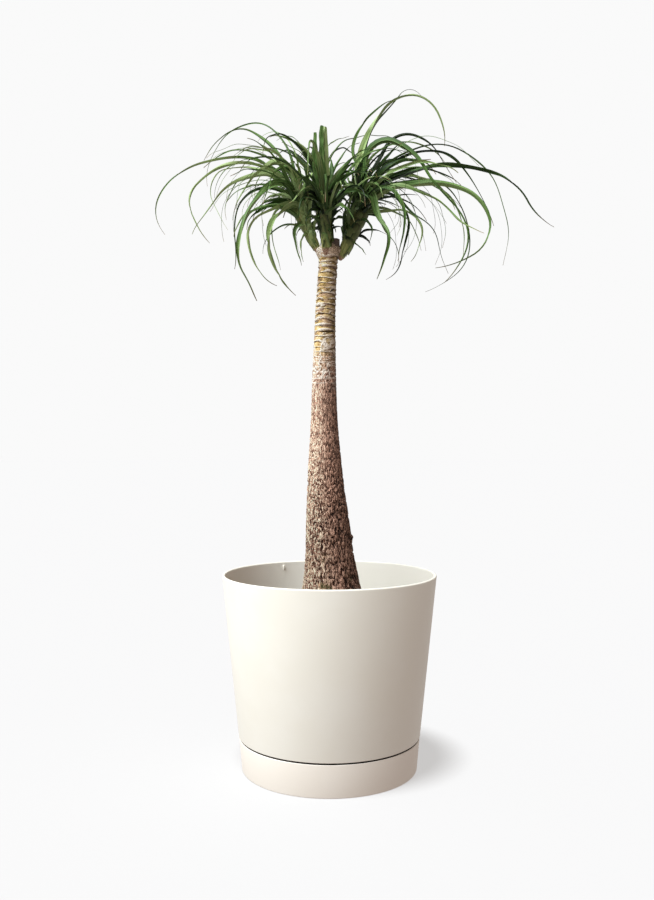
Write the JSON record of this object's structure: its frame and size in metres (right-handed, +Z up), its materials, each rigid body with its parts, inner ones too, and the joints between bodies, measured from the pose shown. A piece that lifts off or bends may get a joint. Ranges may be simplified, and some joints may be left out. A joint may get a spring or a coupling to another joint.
{
  "type": "potted ponytail palm",
  "caption": "Ponytail palm with arching strap leaves on a flared bare trunk, rooted in soil in a tapered round planter that stands in a flush saucer.",
  "frame": {"origin": "on the planter's axis, on the flat underside of the saucer", "axes": "+Z up along the trunk, +X to the right and -Y towards the viewer of the picture"},
  "size_m": [0.5574, 0.4095, 0.9613],
  "materials": {
    "saucer_plastic": "matt cream moulded plastic, a shade pinker than the planter",
    "pot_plastic": "matt cream moulded plastic with a faint cloudy mottle",
    "potting_soil": "dry crumbly potting soil",
    "bark": "corky fissured bark below, pale wavy ring scars above",
    "leaves": "satin green strap leaves, pale at the root and dry at the tip"
  },
  "bodies": {
    "root": {"saucer": "saucer_plastic", "pot": "pot_plastic", "soil": "potting_soil", "trunk": "bark", "head_left": "leaves", "head_front": "leaves", "head_right": "leaves", "head_back": "leaves"}
  },
  "joints": []
}
